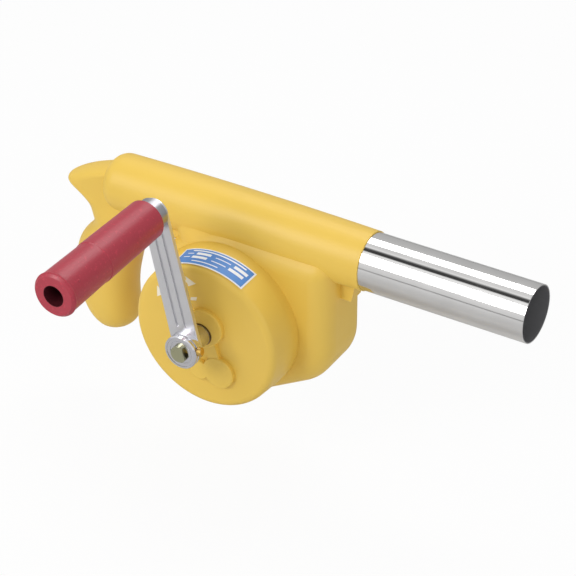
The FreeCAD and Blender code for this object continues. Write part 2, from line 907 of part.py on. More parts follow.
def soft_boss(body, x, z, radius, root):
    """A raised disc with a rounded edge on the cover's face."""
    sketch = new_sketch(body, "XY_Plane", z)
    bind(sketch, "AttachmentOffset.Base.x", x)
    bend = d.relief_round
    low = bend * (1 - cosine(45))
    draw_outline(sketch, [
        (0, relief_front),
        (radius - bend, relief_front, (radius - low, relief_front + low)),
        (radius, relief_front + bend),
        (radius, root),
        (0, root),
    ])
    revolve(body, sketch, "V_Axis")


def cover_screws():
    screws = []
    for number, (x, z) in enumerate(post_places()):
        seat = partition_back
        corners = [
            (0, partition_front - 10),
            (d.screw_shank_radius, partition_front - 10),
            (d.screw_shank_radius, seat),
            (d.screw_head_radius, seat),
            (d.screw_head_radius * 0.8, seat + d.screw_head_height * 0.7),
            (0, seat + d.screw_head_height * 0.7),
        ]
        screws.append(turned_on_y("cover_screw_%d" % (number + 1), corners, x, z))
    group = doc.addObject("Part::Compound", "cover_screws")
    group.Links = screws
    return group


# Blast tube

def blast_tube():
    inner = d.tube_outer_radius - d.tube_wall
    start = d.barrel_collar_reach - d.tube_socket_depth
    mouth = d.barrel_collar_reach + d.tube_visible_length
    corners = [(start, inner), (mouth, inner), (mouth, d.tube_outer_radius), (start, d.tube_outer_radius)]
    return turned_on_x("blast_tube", corners, d.barrel_axis_height)


# Gears

def involute_point(base, radius, offset):
    """A point on the involute of a base circle, at a radius, turned by an offset."""
    roll = math.sqrt(max((radius / base) ** 2 - 1, 0))
    angle = offset + roll - math.atan(roll)
    return angle, radius


def gear_wire(teeth, shift, depth):
    """The toothed outline in X and Z at a depth: involute flanks at 20 degrees."""
    module = d.gear_module.number
    pressure = math.radians(20)
    pitch = module * teeth / 2
    base = pitch * math.cos(pressure)
    tip = pitch + module * (0.95 + shift)
    root = pitch - module * (1.2 - shift)
    thickness = module * (math.pi / 2 + 2 * shift * math.tan(pressure)) - d.gear_backlash.number / 2
    half = thickness / pitch / 2
    flat = math.tan(pressure) - pressure
    start = max(base, root)
    points = []
    for tooth in range(teeth):
        middle = 2 * math.pi * tooth / teeth
        flank = []
        for share in (0.0, 0.35, 0.7, 1.0):
            angle, radius = involute_point(base, start + (tip - start) * share, 0)
            flank.append((half + flat - angle, radius))
        foot = (flank[0][0], root)
        side = [foot] + flank if root < base else flank
        for angle, radius in side:
            points.append((middle - angle, radius))
        for angle, radius in reversed(side):
            points.append((middle + angle, radius))
    corners = [Vector(r * math.cos(a), depth, r * math.sin(a)) for a, r in points]
    return Part.makePolygon(corners + corners[:1])


def toothed(teeth, shift, low, high, bore, turn):
    """A toothed disc along Y with a round bore, turned about its axis."""
    length = as_size(high).number - as_size(low).number
    solid = Part.Face(gear_wire(teeth, shift, as_size(low).number)).extrude(Vector(0, length, 0))
    hole = Part.makeCylinder(as_size(bore).number, length, Vector(0, as_size(low).number, 0), Vector(0, 1, 0))
    shape = solid.cut(hole)
    shape.rotate(Vector(0, 0, 0), Vector(0, 1, 0), turn)
    return shape


def gear_object(name, shape, x=0.0, z=0.0):
    thing = doc.addObject("Part::Feature", name)
    thing.Shape = shape
    place(thing, x, 0.0, z)
    return thing


DRIVE_WHEEL = int(round(d.drive_wheel_teeth.number))
DRIVE_PINION = int(round(d.drive_pinion_teeth.number))
FAN_WHEEL = int(round(d.fan_wheel_teeth.number))
FAN_PINION = int(round(d.fan_pinion_teeth.number))
PROFILE_SHIFT = 0.3


def recessed(shape, low, high, outer, inner):
    """Thins a wheel between its rim and its hub, from both faces."""
    span = as_size(high).number - as_size(low).number
    depth = (span - d.gear_web.number) / 2
    for start in (as_size(low).number, as_size(high).number - depth):
        ring = Part.makeCylinder(outer, depth, Vector(0, start, 0), Vector(0, 1, 0))
        core = Part.makeCylinder(inner, depth, Vector(0, start, 0), Vector(0, 1, 0))
        shape = shape.cut(ring.cut(core))
    return shape


def drive_gear():
    """The crank's wheel. It meshes with the idler's pinion along their line of centres."""
    shape = toothed(DRIVE_WHEEL, -PROFILE_SHIFT, wheel_front, wheel_back, d.crank_shaft_radius, 0)
    rim = d.gear_module.number * DRIVE_WHEEL / 2 - d.gear_rim.number
    shape = recessed(shape, wheel_front, wheel_back, rim, d.crank_shaft_radius.number + d.gear_rim.number)
    shape.rotate(Vector(0, 0, 0), Vector(0, 1, 0), -d.crank_angle.number + 180)
    return gear_object("drive_gear", shape, crank_x, crank_z)


def idler_gear():
    """A pinion and a wheel in one moulding, free on its pin."""
    bore = d.idler_pin_radius + d.running_gap
    half_tooth = 180.0 / DRIVE_PINION
    pinion = toothed(DRIVE_PINION, PROFILE_SHIFT, wheel_front, second_front, bore, 0)
    pinion.rotate(Vector(0, 0, 0), Vector(0, 1, 0), -d.crank_angle.number + half_tooth)
    wheel = toothed(FAN_WHEEL, -PROFILE_SHIFT, second_front, second_back, bore, 0)
    rim = d.gear_module.number * FAN_WHEEL / 2 - d.gear_rim.number
    hub = d.gear_module.number * (DRIVE_PINION / 2 + 1.5) + 0.8
    wheel = recessed(wheel, second_front, second_back, rim, hub)
    wheel.rotate(Vector(0, 0, 0), Vector(0, 1, 0), -d.idler_angle.number + 180)
    return gear_object("idler_gear", pinion.fuse(wheel).removeSplitter(), idler_x, idler_z)


def impeller_pinion():
    shape = toothed(FAN_PINION, PROFILE_SHIFT, second_front, second_back, d.impeller_shaft_radius, 0)
    shape.rotate(Vector(0, 0, 0), Vector(0, 1, 0), -d.idler_angle.number + 180.0 / FAN_PINION)
    return gear_object("impeller_pinion", shape)


def idler_pin():
    corners = [
        (0, cover_inside - 0.8),
        (d.idler_pin_radius, cover_inside - 0.8),
        (d.idler_pin_radius, partition_back - 0.6),
        (0, partition_back - 0.6),
    ]
    return turned_on_y("idler_pin", corners, idler_x, idler_z)


# Impeller group

def impeller():
    """A backed centrifugal wheel with blades that lean back from the way it turns."""
    body = new_body("impeller")
    disc(body, 0, 0, d.impeller_radius, impeller_front, blades_front)
    disc(body, 0, 0, d.impeller_hub_radius, impeller_front, impeller_front + d.impeller_hub_length)
    sketch = new_sketch(body, "XZ_Plane", -blades_back)
    inner = d.impeller_inlet_radius
    outer = d.impeller_radius - 0.6
    sweep = 24
    wall = d.impeller_blade_thickness
    middle = (inner + outer) / 2
    corners = [
        (inner, 0, (middle * cosine(9), middle * sine(9))),
        (outer * cosine(sweep), outer * sine(sweep)),
        (outer * cosine(sweep) - wall * 0.6, outer * sine(sweep) + wall,
         (middle * cosine(9) - wall * 0.3, middle * sine(9) + wall)),
        (inner, wall),
    ]
    draw_outline(sketch, corners)
    blade = pad(body, sketch, blades_back - blades_front + 0.4)
    polar(body, blade, d.impeller_blades)
    drill(body, 0, 0, d.impeller_shaft_radius, impeller_front - 1, impeller_front + d.impeller_hub_length + 1)
    return body


def plain_ring(name, inner, outer, low, high, x=0.0, z=0.0):
    corners = [(inner, low), (outer, low), (outer, high), (inner, high)]
    return turned_on_y(name, corners, x, z)


def impeller_shaft():
    end = rear_pocket_end - d.side_gap
    front = second_front - d.side_gap
    tip = 0.4
    corners = [
        (0, front),
        (d.impeller_shaft_radius - tip, front),
        (d.impeller_shaft_radius, front + tip),
        (d.impeller_shaft_radius, end - tip),
        (d.impeller_shaft_radius - tip, end),
        (0, end),
    ]
    return turned_on_y("impeller_shaft", corners)


def bushes():
    inner = d.impeller_shaft_radius + d.running_gap
    outer = inner + d.bush_wall
    front = plain_ring("front_bush", inner, outer, second_back + d.side_gap, partition_back)
    rear = plain_ring("rear_bush", inner, outer, rear_boss_top, rear_pocket_end)
    crank_inner = d.crank_shaft_radius + d.running_gap
    crank = plain_ring("crank_bush", crank_inner, crank_inner + d.bush_wall, relief_front, bush_back,
                       crank_x, crank_z)
    return [front, rear, crank]


# Crank group. It is drawn with the arm upright and then tilted about the crank axis.

def tilted_body(name):
    return new_body(name, crank_x, 0.0, crank_z, Rotation(Vector(0, 1, 0), -d.arm_tilt.number))


def crank_shaft():
    """A round bar with a flat for the set screw."""
    body = tilted_body("crank_shaft")
    disc(body, 0, 0, d.crank_shaft_radius, hub_front - d.crank_shaft_end, crank_shaft_back)
    sketch = new_sketch(body, "XZ_Plane", -(hub_front - d.crank_shaft_end - 1))
    edge = d.crank_shaft_radius - d.crank_flat_depth
    far = d.crank_shaft_radius * 2
    corners = [(edge, -far), (far, -far), (far, far), (edge, far)]
    draw_outline(sketch, corners)
    pocket(body, sketch, relief_front - d.side_gap * 3 - hub_front + d.crank_shaft_end + 1)
    return body


def crank_arm():
    """A flat bar with round ends and two pressed grooves."""
    body = tilted_body("crank_arm")
    wide = d.arm_hub_width / 2
    slim = d.arm_end_width / 2
    top = d.arm_length
    corners = [
        (wide, 0),
        (slim, top, (0, top + slim)),
        (-slim, top),
        (-wide, 0, (0, -wide)),
    ]
    slab(body, corners, arm_front, arm_back)
    half = d.arm_groove_width / 2
    for side in (-1, 1):
        middle = d.arm_groove_spacing * side / 2
        sketch = new_sketch(body, "XZ_Plane", -(arm_front - 1))
        low = d.arm_groove_inset
        high = d.arm_length - d.arm_groove_inset * 0.4
        groove = [
            (middle - half, low, (middle, low - half)),
            (middle + half, low),
            (middle + half, high, (middle, high + half)),
            (middle - half, high),
        ]
        draw_outline(sketch, groove)
        pocket(body, sketch, d.arm_groove_depth + 1)
    drill(body, 0, 0, d.hub_spigot_radius, arm_front - 1, arm_back + 1)
    drill(body, 0, d.arm_length, d.spindle_spigot_radius, arm_front - 1, arm_back + 1)
    return body


def arm_hub():
    """The turned collar that grips the shaft, with a side hole for its set screw."""
    body = tilted_body("arm_hub")
    sketch = new_sketch(body, "XY_Plane")
    inner = d.crank_shaft_radius + d.running_gap
    step = d.hub_step
    back = relief_front - d.side_gap * 3
    corners = [
        (inner, hub_front),
        (d.hub_radius - step, hub_front),
        (d.hub_radius, hub_front + step),
        (d.hub_radius, hub_front + step * 2.5),
        (d.hub_radius - step, hub_front + step * 3),
        (d.hub_radius - step, hub_front + step * 4.5),
        (d.hub_radius, hub_front + step * 5),
        (d.hub_radius, arm_front),
        (d.hub_spigot_radius, arm_front),
        (d.hub_spigot_radius, arm_back),
        (d.hub_tail_radius, arm_back),
        (d.hub_tail_radius, back),
        (inner, back),
    ]
    draw_outline(sketch, corners)
    revolve(body, sketch, "V_Axis")
    hole = new_sketch(body, "YZ_Plane")
    draw_circle(hole, set_screw_depth, 0, d.set_screw_radius + d.screw_gap)
    side = pocket(body, hole, d.hub_radius + 1)
    side.Reversed = True
    return body


def set_screw():
    """The cross-head screw in the collar's side, on the flat of the shaft."""
    seat = d.hub_radius + 0.1
    tip = d.crank_shaft_radius - d.crank_flat_depth
    head = seat + d.set_screw_head_length
    body = tilted_body("set_screw")
    sketch = new_sketch(body, "XY_Plane")
    bind(sketch, "AttachmentOffset.Base.y", set_screw_depth)
    draw_outline(sketch, [
        (tip, 0),
        (tip, d.set_screw_radius),
        (seat, d.set_screw_radius),
        (seat, d.set_screw_head_radius),
        (head, d.set_screw_head_radius),
        (head + 0.5, d.set_screw_head_radius * 0.7),
        (head + 0.5, 0),
    ])
    revolve(body, sketch, "H_Axis")
    return body


def handle_spindle():
    """The steel pin of the handle, riveted through the arm's end."""
    body = new_body("handle_spindle")
    disc(body, 0, 0, d.spindle_flange_radius, spindle_flange_front, arm_front)
    disc(body, 0, 0, d.spindle_spigot_radius, arm_front, arm_back)
    disc(body, 0, 0, d.rivet_head_radius, arm_back, arm_back + d.rivet_head_height)
    disc(body, 0, 0, d.spindle_radius, spindle_tip, spindle_flange_front)
    return body


def handle_sleeve():
    """The moulded grip that spins on the spindle: two tapers that meet in a raised joint line."""
    bore = d.spindle_radius + d.running_gap
    joint = sleeve_outer + d.sleeve_length * d.sleeve_joint_share
    slope = (d.sleeve_outer_end_radius - d.sleeve_inner_end_radius) / d.sleeve_length
    joint_radius = d.sleeve_outer_end_radius - slope * d.sleeve_length * d.sleeve_joint_share
    lip = d.sleeve_lip
    corners = [
        (bore, sleeve_inner),
        (d.sleeve_inner_end_radius - lip / 2, sleeve_inner),
        (d.sleeve_inner_end_radius, sleeve_inner - lip / 2),
        (joint_radius + d.sleeve_joint_step / 2, joint),
        (joint_radius - d.sleeve_joint_step / 2, joint - d.sleeve_joint_step),
        (d.sleeve_outer_end_radius, sleeve_outer + lip),
        (d.sleeve_outer_end_radius - lip, sleeve_outer),
        (d.sleeve_bore_radius, sleeve_outer),
        (d.sleeve_bore_radius, sleeve_shelf),
        (bore, sleeve_shelf),
    ]
    return turned_on_y("handle_sleeve", corners, handle_x, handle_z)


handle_x = crank_x - d.arm_length * sine(d.arm_tilt)
handle_z = crank_z + d.arm_length * cosine(d.arm_tilt)


def build():
    """Builds every piece and gives the list of named sub-parts."""
    front_shell, rear_shell = shells(housing_form())
    spindle = handle_spindle()
    place(spindle, handle_x, 0, handle_z)
    pieces = [
        front_shell,
        rear_shell,
        gear_cover(),
        blast_tube(),
        cover_screws(),
        screw_body("shell_screws", shell_screw_places(), d.shell_screw_bite),
        screw_body("lug_screw", [lug_screw_place()], d.lug_half_width - 1),
        idler_pin(),
        crank_shaft(),
        drive_gear(),
        plain_ring("crank_clip", d.crank_shaft_radius, d.crank_shaft_radius + 2, wheel_back,
                   wheel_back + d.clip_thickness, crank_x, crank_z),
        plain_ring("thrust_washer", d.crank_shaft_radius + d.running_gap, d.hub_tail_radius,
                   relief_front - d.side_gap * 3, relief_front - d.side_gap, crank_x, crank_z),
        crank_arm(),
        arm_hub(),
        set_screw(),
        spindle,
        plain_ring("spindle_clip", d.spindle_radius, d.sleeve_bore_radius - 0.6, spindle_clip_front,
                   spindle_clip_front + d.clip_thickness, handle_x, handle_z),
        handle_sleeve(),
        idler_gear(),
        impeller(),
        impeller_shaft(),
        impeller_pinion(),
        plain_ring("impeller_clip", d.impeller_shaft_radius, d.impeller_shaft_radius + 2.4,
                   impeller_front + d.impeller_hub_length,
                   impeller_front + d.impeller_hub_length + d.clip_thickness),
    ]
    return pieces + bushes()


LABELS = {"lug_screw_1": "lug_screw"}


def check(thing):
    if "Invalid" in thing.State or "Error" in thing.State:
        raise RuntimeError(thing.Label + " was not built: " + thing.getStatusString())


pieces = build()
doc.recompute()
for thing in doc.Objects:
    check(thing)
for piece in pieces:
    piece.Label = LABELS.get(piece.Name, piece.Name)
    if piece.Shape.isNull() or not piece.Shape.isValid():
        raise RuntimeError("%s has no valid shape" % piece.Label)
    print("%-18s solids %d volume %9.1f" % (piece.Label, len(piece.Shape.Solids), piece.Shape.Volume))
for piece in pieces:
    piece.Shape.exportStep("parts/%s.step" % piece.Label)
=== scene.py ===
import json
import math

import bmesh
import bpy
from mathutils import Matrix, Vector


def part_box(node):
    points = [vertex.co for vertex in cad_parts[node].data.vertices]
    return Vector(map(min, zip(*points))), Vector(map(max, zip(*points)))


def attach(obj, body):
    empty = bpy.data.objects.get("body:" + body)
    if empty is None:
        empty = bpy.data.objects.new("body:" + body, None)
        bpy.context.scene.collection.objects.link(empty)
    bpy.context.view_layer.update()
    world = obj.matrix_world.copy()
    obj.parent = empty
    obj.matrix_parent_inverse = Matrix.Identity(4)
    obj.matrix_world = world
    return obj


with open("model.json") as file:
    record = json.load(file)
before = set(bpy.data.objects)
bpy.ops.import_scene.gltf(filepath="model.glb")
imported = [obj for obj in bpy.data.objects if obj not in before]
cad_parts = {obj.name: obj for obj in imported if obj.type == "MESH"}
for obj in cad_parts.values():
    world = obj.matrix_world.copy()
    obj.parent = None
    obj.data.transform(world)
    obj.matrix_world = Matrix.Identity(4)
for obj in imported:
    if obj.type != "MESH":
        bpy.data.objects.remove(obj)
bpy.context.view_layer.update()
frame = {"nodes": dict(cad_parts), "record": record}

MM = 0.001
FULL_TURN = 360.0
EVEN = (1.0, 1.0, 1.0)


def joint_axis(name):
    """The X and Z of a joint's axis, in millimetres."""
    for joint in frame["record"]["behaviour"]["joints"]:
        if joint["name"] == name:
            return joint["pos_m"][0] / MM, joint["pos_m"][2] / MM


def near_end(node):
    """How far along Y a node starts, in millimetres."""
    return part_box(node)[0][1] / MM


# The solids' places and sizes that the new pieces and the finishes go by, in millimetres

FAN_AXIS = joint_axis("fan_spin")
CRANK_AXIS = joint_axis("crank_turn")
HANDLE_AXIS = joint_axis("handle_spin")
COVER_FACE = -45.0
COVER_SEAM = -27.0
COVER_RADIUS = 45.0
COVER_DRAFT = 1.0 / 18.0
HUB_RADIUS = 9.8
SLEEVE_RADIUS = 12.1
SLEEVE_BORE = 5.9
TUBE_SKIN = 0.5


# Colours

def grey(value):
    """A grey, also used for a plain number that goes through a colour socket."""
    return (value, value, value, 1.0)


def opaque(colour):
    return tuple(colour) + (1.0,)


def tint(colour, share):
    """A colour made darker or lighter by a share."""
    return opaque(min(1.0, part * share) for part in colour)


def srgb(red, green, blue):
    """A colour as seen, from 0 to 255, in the shader's linear values."""
    out = []
    for level in (red, green, blue):
        part = level / 255.0
        out.append(part / 12.92 if part <= 0.04045 else ((part + 0.055) / 1.055) ** 2.4)
    return tuple(out)


# Shader nodes

def new_finish(name):
    """A material with a principled shader: the material, its nodes, its links and the shader."""
    finish = bpy.data.materials.new(name)
    finish.use_nodes = True
    nodes = finish.node_tree.nodes
    return finish, nodes, finish.node_tree.links, nodes["Principled BSDF"]


def object_place(nodes, links, scale=EVEN, shift=(0.0, 0.0, 0.0)):
    """The object's own coordinates, stretched and shifted."""
    where = nodes.new("ShaderNodeTexCoord")
    moved = nodes.new("ShaderNodeMapping")
    moved.inputs["Scale"].default_value = scale
    moved.inputs["Location"].default_value = shift
    links.new(where.outputs["Object"], moved.inputs["Vector"])
    return moved.outputs["Vector"]


def noise_on(nodes, links, scale, detail, stretch=EVEN):
    """A noise that sits on the object's own coordinates."""
    noise = nodes.new("ShaderNodeTexNoise")
    noise.inputs["Scale"].default_value = scale
    noise.inputs["Detail"].default_value = detail
    links.new(object_place(nodes, links, stretch), noise.inputs["Vector"])
    return noise.outputs["Fac"]


def ramp_on(nodes, links, source, span, colours):
    """A ramp between two colours over a span of a value's range."""
    ramp = nodes.new("ShaderNodeValToRGB")
    for stop, place, colour in zip(ramp.color_ramp.elements, span, colours):
        stop.position = place
        stop.color = colour
    links.new(source, ramp.inputs["Fac"])
    return ramp.outputs["Color"]


def mixed(nodes, links, amount, first, second):
    """Two colours mixed by an amount. Each is a value or another node's output."""
    mix = nodes.new("ShaderNodeMix")
    mix.data_type = "RGBA"
    for name, value in (("Factor", amount), ("A", first), ("B", second)):
        socket = [item for item in mix.inputs if item.name == name and item.enabled][0]
        if isinstance(value, tuple):
            socket.default_value = value
        else:
            links.new(value, socket)
    return [item for item in mix.outputs if item.enabled][0]


def scaled(nodes, links, source, factor):
    """A value times a plain number."""
    product = nodes.new("ShaderNodeMath")
    product.operation = "MULTIPLY"
    product.inputs[1].default_value = factor
    links.new(source, product.inputs[0])
    return product.outputs["Value"]


def near_axis(nodes, links, axis, along, radius):
    """White nearer than a radius to an axis along X, Y or Z, and black beyond it."""
    ramp_units_per_metre = 20.0
    blend = 1.02
    shift = tuple(-MM * part for part in axis)
    flat = tuple(0.0 if letter == along else 1.0 for letter in "XYZ")
    reach = nodes.new("ShaderNodeVectorMath")
    reach.operation = "LENGTH"
    links.new(object_place(nodes, links, flat, shift), reach.inputs[0])
    value = scaled(nodes, links, reach.outputs["Value"], ramp_units_per_metre)
    edge = radius * MM * ramp_units_per_metre
    return ramp_on(nodes, links, value, (edge, edge * blend), (grey(1.0), grey(0.0)))


def roughened(nodes, links, shader, source, low, high):
    """Roughness that follows a noise."""
    rub = ramp_on(nodes, links, source, (0.35, 0.7), (grey(low), grey(high)))
    links.new(rub, shader.inputs["Roughness"])


def bumped(nodes, links, shader, source, strength, depth):
    """Fine relief that follows a noise."""
    bump = nodes.new("ShaderNodeBump")
    bump.inputs["Strength"].default_value = strength
    bump.inputs["Distance"].default_value = depth
    links.new(source, bump.inputs["Height"])
    links.new(bump.outputs["Normal"], shader.inputs["Normal"])


# Finishes

def moulded_plastic(name, colour, roughness, specks=0.0):
    """Satin moulded plastic: slow drift of tone, fine spark-eroded grain, and pale specks of wear."""
    finish, nodes, links, shader = new_finish(name)
    drift = noise_on(nodes, links, scale=14.0, detail=3.0)
    tone = ramp_on(nodes, links, drift, (0.35, 0.7), (tint(colour, 0.955), tint(colour, 1.0)))
    if specks:
        rubs = noise_on(nodes, links, scale=620.0, detail=4.0)
        worn = ramp_on(nodes, links, rubs, (0.57, 0.72), (grey(0.0), grey(specks)))
        tone = mixed(nodes, links, worn, tone, tint(colour, 1.6))
    links.new(tone, shader.inputs["Base Color"])
    roughened(nodes, links, shader, drift, roughness - 0.04, roughness + 0.05)
    grain = noise_on(nodes, links, scale=1500.0, detail=2.0)
    bumped(nodes, links, shader, grain, strength=0.14, depth=0.0005)
    return finish


def rewired(nodes, links, shader, name, amount, value):
    """Mixes a value into a shader's socket, over what the socket holds now."""
    socket = shader.inputs[name]
    present = socket.links[0].from_socket if socket.links else grey(socket.default_value)
    links.new(mixed(nodes, links, amount, present, value), socket)


def handle_plastic(name, colour, bore_shade):
    """The handle's plastic, scuffed outside, with painted shade that darkens the wall inside the bore."""
    finish = moulded_plastic(name, colour, roughness=0.38, specks=0.45)
    nodes, links = finish.node_tree.nodes, finish.node_tree.links
    axis = (HANDLE_AXIS[0], 0.0, HANDLE_AXIS[1])
    # Painted shade: inside the bore's radius the colour goes near black, standing in for the shadow deep in
    # the hole.
    inside = near_axis(nodes, links, axis, "Y", SLEEVE_BORE + 0.05)
    rewired(nodes, links, nodes["Principled BSDF"], "Base Color", inside, opaque(bore_shade))
    return finish


def plated_metal(name, colour, low, high, stretch=EVEN, grain=0.0):
    """Bright metal, smeared here and there by handling, with drawn lines where it was drawn."""
    finish, nodes, links, shader = new_finish(name)
    shader.inputs["Metallic"].default_value = 1.0
    smears = noise_on(nodes, links, scale=60.0, detail=5.0)
    cloud = ramp_on(nodes, links, smears, (0.3, 0.7), (tint(colour, 0.93), tint(colour, 1.0)))
    links.new(cloud, shader.inputs["Base Color"])
    roughened(nodes, links, shader, smears, low, high)
    if grain:
        lines = noise_on(nodes, links, scale=900.0, detail=3.0, stretch=stretch)
        bumped(nodes, links, shader, lines, strength=grain, depth=0.0002)
    return finish


def tube_steel(name, colour, dull):
    """The tube's steel, polished outside and dull inside the bore."""
    finish = plated_metal(name, colour, low=0.05, high=0.11, stretch=(0.05, 1.0, 1.0), grain=0.03)
    nodes, links = finish.node_tree.nodes, finish.node_tree.links
    low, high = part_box("blast_tube")
    axis = (0.0, (low[1] + high[1]) / 2 / MM, (low[2] + high[2]) / 2 / MM)
    outer_radius = (high[2] - low[2]) / 2 / MM
    inside = near_axis(nodes, links, axis, "X", outer_radius - TUBE_SKIN)
    for socket, value in (("Base Color", opaque(dull)), ("Roughness", grey(0.6)), ("Metallic", grey(0.2))):
        rewired(nodes, links, nodes["Principled BSDF"], socket, inside, value)
    return finish


def printed_ink(name, colour, worn):
    """Flat print or film with faint wear."""
    finish, nodes, links, shader = new_finish(name)
    wear = noise_on(nodes, links, scale=300.0, detail=4.0)
    tone = ramp_on(nodes, links, wear, (0.5, 0.8), (opaque(colour), tint(colour, worn)))
    links.new(tone, shader.inputs["Base Color"])
    roughened(nodes, links, shader, wear, low=0.34, high=0.46)
    return finish


yellow_shell = moulded_plastic("yellow housing plastic", srgb(234, 196, 84), roughness=0.44)
# The last colour is the painted shade inside the handle's bore.
red_sleeve = handle_plastic("red handle plastic", srgb(172, 50, 66), srgb(38, 20, 24))
white_gear = moulded_plastic("natural gear plastic", srgb(228, 225, 212), roughness=0.4)
black_wheel = moulded_plastic("black impeller plastic", srgb(44, 44, 47), roughness=0.45)
bright_tube = tube_steel("polished tube steel", srgb(232, 231, 230), srgb(120, 120, 122))
mirror_zinc = plated_metal("bright zinc plate", srgb(216, 216, 221), low=0.1, high=0.2)
satin_zinc = plated_metal(
    "satin zinc plate", srgb(226, 226, 229), low=0.26, high=0.4, stretch=(1.0, 1.0, 0.12), grain=0.1)
plain_steel = plated_metal("plain steel", srgb(178, 178, 182), low=0.26, high=0.4)
yellow_zinc = plated_metal("yellow zinc shaft", srgb(180, 180, 148), low=0.24, high=0.38)
brass_screw = plated_metal("brass screw", srgb(214, 176, 98), low=0.2, high=0.32)
bronze_bush = plated_metal("sintered bronze", srgb(176, 138, 86), low=0.38, high=0.5)
blue_film = printed_ink("blue label film", srgb(66, 130, 204), worn=1.12)
white_film = printed_ink("white label film", srgb(236, 238, 242), worn=0.94)
cover_ink = printed_ink("white print on the cover", srgb(240, 232, 212), worn=0.8)

SLOT_FINISHES = {
    "housing": yellow_shell,
    "tube": bright_tube,
    "zinc": mirror_zinc,
    "steel": plain_steel,
    "shaft": yellow_zinc,
    "brass": brass_screw,
    "fastener": plain_steel,
    "handle": red_sleeve,
    "gear": white_gear,
    "impeller": black_wheel,
    "bush": bronze_bush,
}
NODE_FINISHES = {"crank_arm": satin_zinc}


def dress_solids():
    """Gives each solid its own finish, or else its slot's."""
    for part in frame["record"]["subparts"]:
        finish = NODE_FINISHES.get(part["node"], SLOT_FINISHES[part["material_slot"]])
        mesh = frame["nodes"][part["node"]].data
        mesh.materials.clear()
        mesh.materials.append(finish)


# New pieces, made in millimetres about an axis along Y

def placed(name, work, finish):
    """Turns a bmesh into an object in the scene."""
    mesh = bpy.data.meshes.new(name)
    work.to_mesh(mesh)
    work.free()
    mesh.materials.append(finish)
    piece = bpy.data.objects.new(name, mesh)
    bpy.context.scene.collection.objects.link(piece)
    return piece


def finished(name, work, axis, finish, body):
    """Turns a bmesh drawn about an axis into a piece that rides on a body."""
    merge_distance = 0.0005
    bmesh.ops.remove_doubles(work, verts=work.verts, dist=merge_distance)
    bmesh.ops.recalc_face_normals(work, faces=work.faces)
    bmesh.ops.translate(work, verts=work.verts, vec=(axis[0], 0.0, axis[1]))
    bmesh.ops.scale(work, verts=work.verts, vec=(MM, MM, MM))
    piece = placed(name, work, finish)
    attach(piece, body)


def swept(work, section, start, end, steps):
    """Spins a closed section of (radius, y) corners about Y between two angles above +X."""
    corners = [work.verts.new((radius, y, 0.0)) for radius, y in section]
    face = work.faces.new(corners)
    geometry = [face] + list(face.edges) + list(face.verts)
    centre = (0.0, 0.0, 0.0)
    turn = Matrix.Rotation(-math.radians(start), 3, "Y")
    bmesh.ops.rotate(work, verts=corners, cent=centre, matrix=turn)
    full = abs(end - start) == FULL_TURN
    bmesh.ops.spin(work, geom=geometry, cent=centre, axis=(0.0, 1.0, 0.0),
                   angle=-math.radians(end - start), steps=steps, use_merge=full, use_duplicate=False)
    if full:
        bmesh.ops.delete(work, geom=[face], context="FACES_KEEP_BOUNDARY")


def turned_ring(name, section, axis, finish, body):
    """A full ring turned from one section."""
    work = bmesh.new()
    swept(work, section, 0.0, FULL_TURN, steps=96)
    finished(name, work, axis, finish, body)


def on_circle(radius, angle):
    """The X and Z of a point on a circle, at an angle above +X."""
    return (radius * math.cos(math.radians(angle)), radius * math.sin(math.radians(angle)))


def cover_wall(y):
    """The radius of the gear cover's drafted side wall at a depth."""
    return COVER_RADIUS - (COVER_SEAM - y) * COVER_DRAFT


def wall_film(work, start, end, back, front, lift):
    """A film on the gear cover's side wall between two angles and two depths."""
    degrees_per_step = 1.5
    section = [
        (cover_wall(back), back),
        (cover_wall(back) + lift, back),
        (cover_wall(front) + lift, front),
        (cover_wall(front), front),
    ]
    swept(work, section, start, end, max(1, round(abs(end - start) / degrees_per_step)))


# The start and end angle and the back and front depth of each plain bar on the label
LABEL_BARS = [
    (62.5, 73.5, -31.9, -34.0),
    (63.5, 75.5, -35.3, -37.4),
    (92.5, 104.0, -31.6, -33.6),
    (93.5, 105.5, -35.0, -37.0),
    (66.0, 109.0, -29.5, -30.4),
    (76.5, 88.5, -32.7, -33.3),
    (78.0, 89.5, -36.1, -36.7),
    (106.5, 111.5, -32.4, -33.0),
    (107.5, 112.5, -35.8, -36.4),
    (82.0, 103.0, -39.2, -39.9),
]


def label():
    """The label on the gear cover's side: a white film, the blue print on it, and plain white bars."""
    layers = [
        ("label_film", white_film, [(59.0, 117.5, -27.5, -42.7)], 0.12),
        ("label_print", blue_film, [(60.2, 116.3, -28.4, -41.8)], 0.2),
        ("label_bars", white_film, LABEL_BARS, 0.27),
    ]
    for name, finish, patches, lift in layers:
        work = bmesh.new()
        for start, end, back, front in patches:
            wall_film(work, start, end, back, front, lift)
        finished(name, work, FAN_AXIS, finish, "housing")


def face_print(work, corners, ink):
    """A flat shape of (x, z) corners on the gear cover's face, as thick as its ink."""
    points = [work.verts.new((x, COVER_FACE, z)) for x, z in corners]
    face = work.faces.new(points)
    made = bmesh.ops.extrude_face_region(work, geom=[face], use_keep_orig=True)
    lifted = [item for item in made["geom"] if isinstance(item, bmesh.types.BMVert)]
    bmesh.ops.translate(work, verts=lifted, vec=(0.0, -ink, 0.0))


